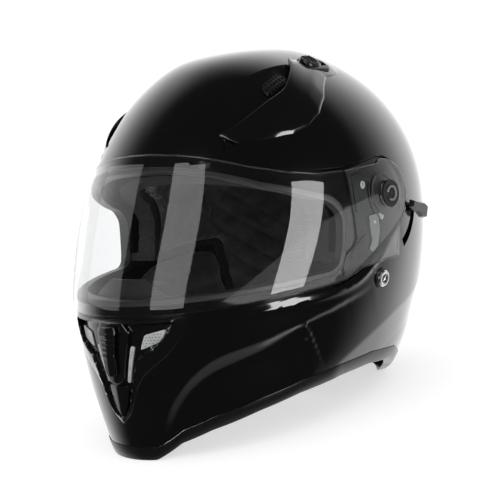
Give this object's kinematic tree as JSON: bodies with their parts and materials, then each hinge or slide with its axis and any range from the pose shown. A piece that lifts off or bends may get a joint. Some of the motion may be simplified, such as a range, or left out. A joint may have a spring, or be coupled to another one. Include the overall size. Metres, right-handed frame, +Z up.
{
  "type": "motorcycle helmet",
  "caption": "Full-face motorcycle helmet with a clear swing-up face shield, a drop-down sun visor with side lever, sliding vents, padded lining and buckled chin strap.",
  "frame": {"origin": "on the surface that the helmet stands on, under the middle of its bounding box", "axes": "+Z up; the wearer looks along -Y; +X is the wearer's left"},
  "size_m": [0.2508, 0.3243, 0.277],
  "materials": {
    "shell_gloss": "gloss lacquer",
    "trim_rubber": "matt",
    "seal_rubber": "matt",
    "shield_clear": "gloss clear",
    "visor_smoke": "gloss smoked",
    "black_plastic": "fine grain",
    "grey_plastic": "fine grain",
    "vent_gloss": "gloss",
    "vent_mesh": "satin silver",
    "steel": "satin",
    "chrome": "polished",
    "eps_foam": "beaded foam",
    "lining": "brushed knit",
    "webbing": "woven"
  },
  "bodies": {
    "helmet": {"base_plate_left": "black_plastic", "base_plate_right": "black_plastic", "base_plate_screws": "steel", "bottom_trim": "trim_rubber", "breath_guard": "seal_rubber", "buckle_housing": "black_plastic", "buckle_pin": "steel", "buckle_tongue": "grey_plastic", "cheek_pad_left": "lining", "cheek_pad_right": "lining", "chin_impact_liner": "eps_foam", "chin_vent_housing": "vent_gloss", "chin_vent_mesh": "vent_mesh", "comfort_liner": "lining", "eyeport_seal": "seal_rubber", "impact_liner": "eps_foam", "liner_snaps": "black_plastic", "neck_roll": "lining", "outer_shell": "shell_gloss", "rear_vent_cover": "vent_gloss", "release_lever_pin_left": "steel", "release_lever_pin_right": "steel", "shield_hub_left": "grey_plastic", "shield_hub_right": "grey_plastic", "strap_comfort_sleeve": "lining", "strap_left": "webbing", "strap_right": "webbing", "strap_rivet_left": "chrome", "strap_rivet_right": "chrome", "strap_rivet_washers": "black_plastic", "sun_visor_bracket_left": "black_plastic", "sun_visor_bracket_right": "black_plastic", "sun_visor_cable": "black_plastic", "sun_visor_lever_rail": "black_plastic", "sun_visor_screws": "steel", "top_vent_cover_left": "vent_gloss", "top_vent_cover_right": "vent_gloss", "top_vent_mesh": "black_plastic"},
    "shield": {"face_shield": "shield_clear"},
    "sun_shade": {"sun_visor": "visor_smoke"},
    "shade_lever": {"sun_visor_lever": "black_plastic"},
    "chin_slider": {"chin_vent_slider": "vent_gloss"},
    "top_slider_left": {"top_vent_slider_left": "black_plastic"},
    "top_slider_right": {"top_vent_slider_right": "black_plastic"},
    "latch_left": {"release_lever_left": "grey_plastic"},
    "latch_right": {"release_lever_right": "grey_plastic"},
    "buckle_arm": {"buckle_lever": "steel"}
  },
  "joints": [
    {"name": "face_shield_hinge", "type": "hinge", "parent": "helmet", "child": "shield", "pos_m": [0, 0.0223, 0.158], "axis": [-1, 0, 0], "range_deg": [0, 55]},
    {"name": "sun_visor_hinge", "type": "hinge", "parent": "helmet", "child": "sun_shade", "pos_m": [0, 0.0223, 0.158], "axis": [1, 0, 0], "range_deg": [0, 36]},
    {"name": "sun_visor_lever_hinge", "type": "hinge", "parent": "helmet", "child": "shade_lever", "pos_m": [0, 0.0223, 0.158], "axis": [1, 0, 0], "range_deg": [-36, 0]},
    {"name": "chin_vent_slide", "type": "slide", "parent": "helmet", "child": "chin_slider", "axis": [0, 0, -1], "range_m": [0, 0.006]},
    {"name": "top_vent_slide_left", "type": "slide", "parent": "helmet", "child": "top_slider_left", "axis": [0, 0.9983, -0.0588], "range_m": [0, 0.007]},
    {"name": "top_vent_slide_right", "type": "slide", "parent": "helmet", "child": "top_slider_right", "axis": [0, 0.9983, -0.0588], "range_m": [0, 0.007]},
    {"name": "release_lever_hinge_left", "type": "hinge", "parent": "helmet", "child": "latch_left", "pos_m": [0.116, 0.0033, 0.14], "axis": [1, 0, 0], "range_deg": [0, 8], "stiffness_Nm_per_rad": 0.02},
    {"name": "release_lever_hinge_right", "type": "hinge", "parent": "helmet", "child": "latch_right", "pos_m": [-0.116, 0.0033, 0.14], "axis": [1, 0, 0], "range_deg": [0, 8], "stiffness_Nm_per_rad": 0.02},
    {"name": "buckle_lever_hinge", "type": "hinge", "parent": "helmet", "child": "buckle_arm", "pos_m": [0.013, 0.0103, 0.0212], "axis": [0, 1, 0], "range_deg": [0, 25], "stiffness_Nm_per_rad": 0.02, "springref_deg": -20.05}
  ],
  "couplings": [
    {"joint": "sun_visor_lever_hinge", "follows": "sun_visor_hinge", "ratio": -1}
  ]
}
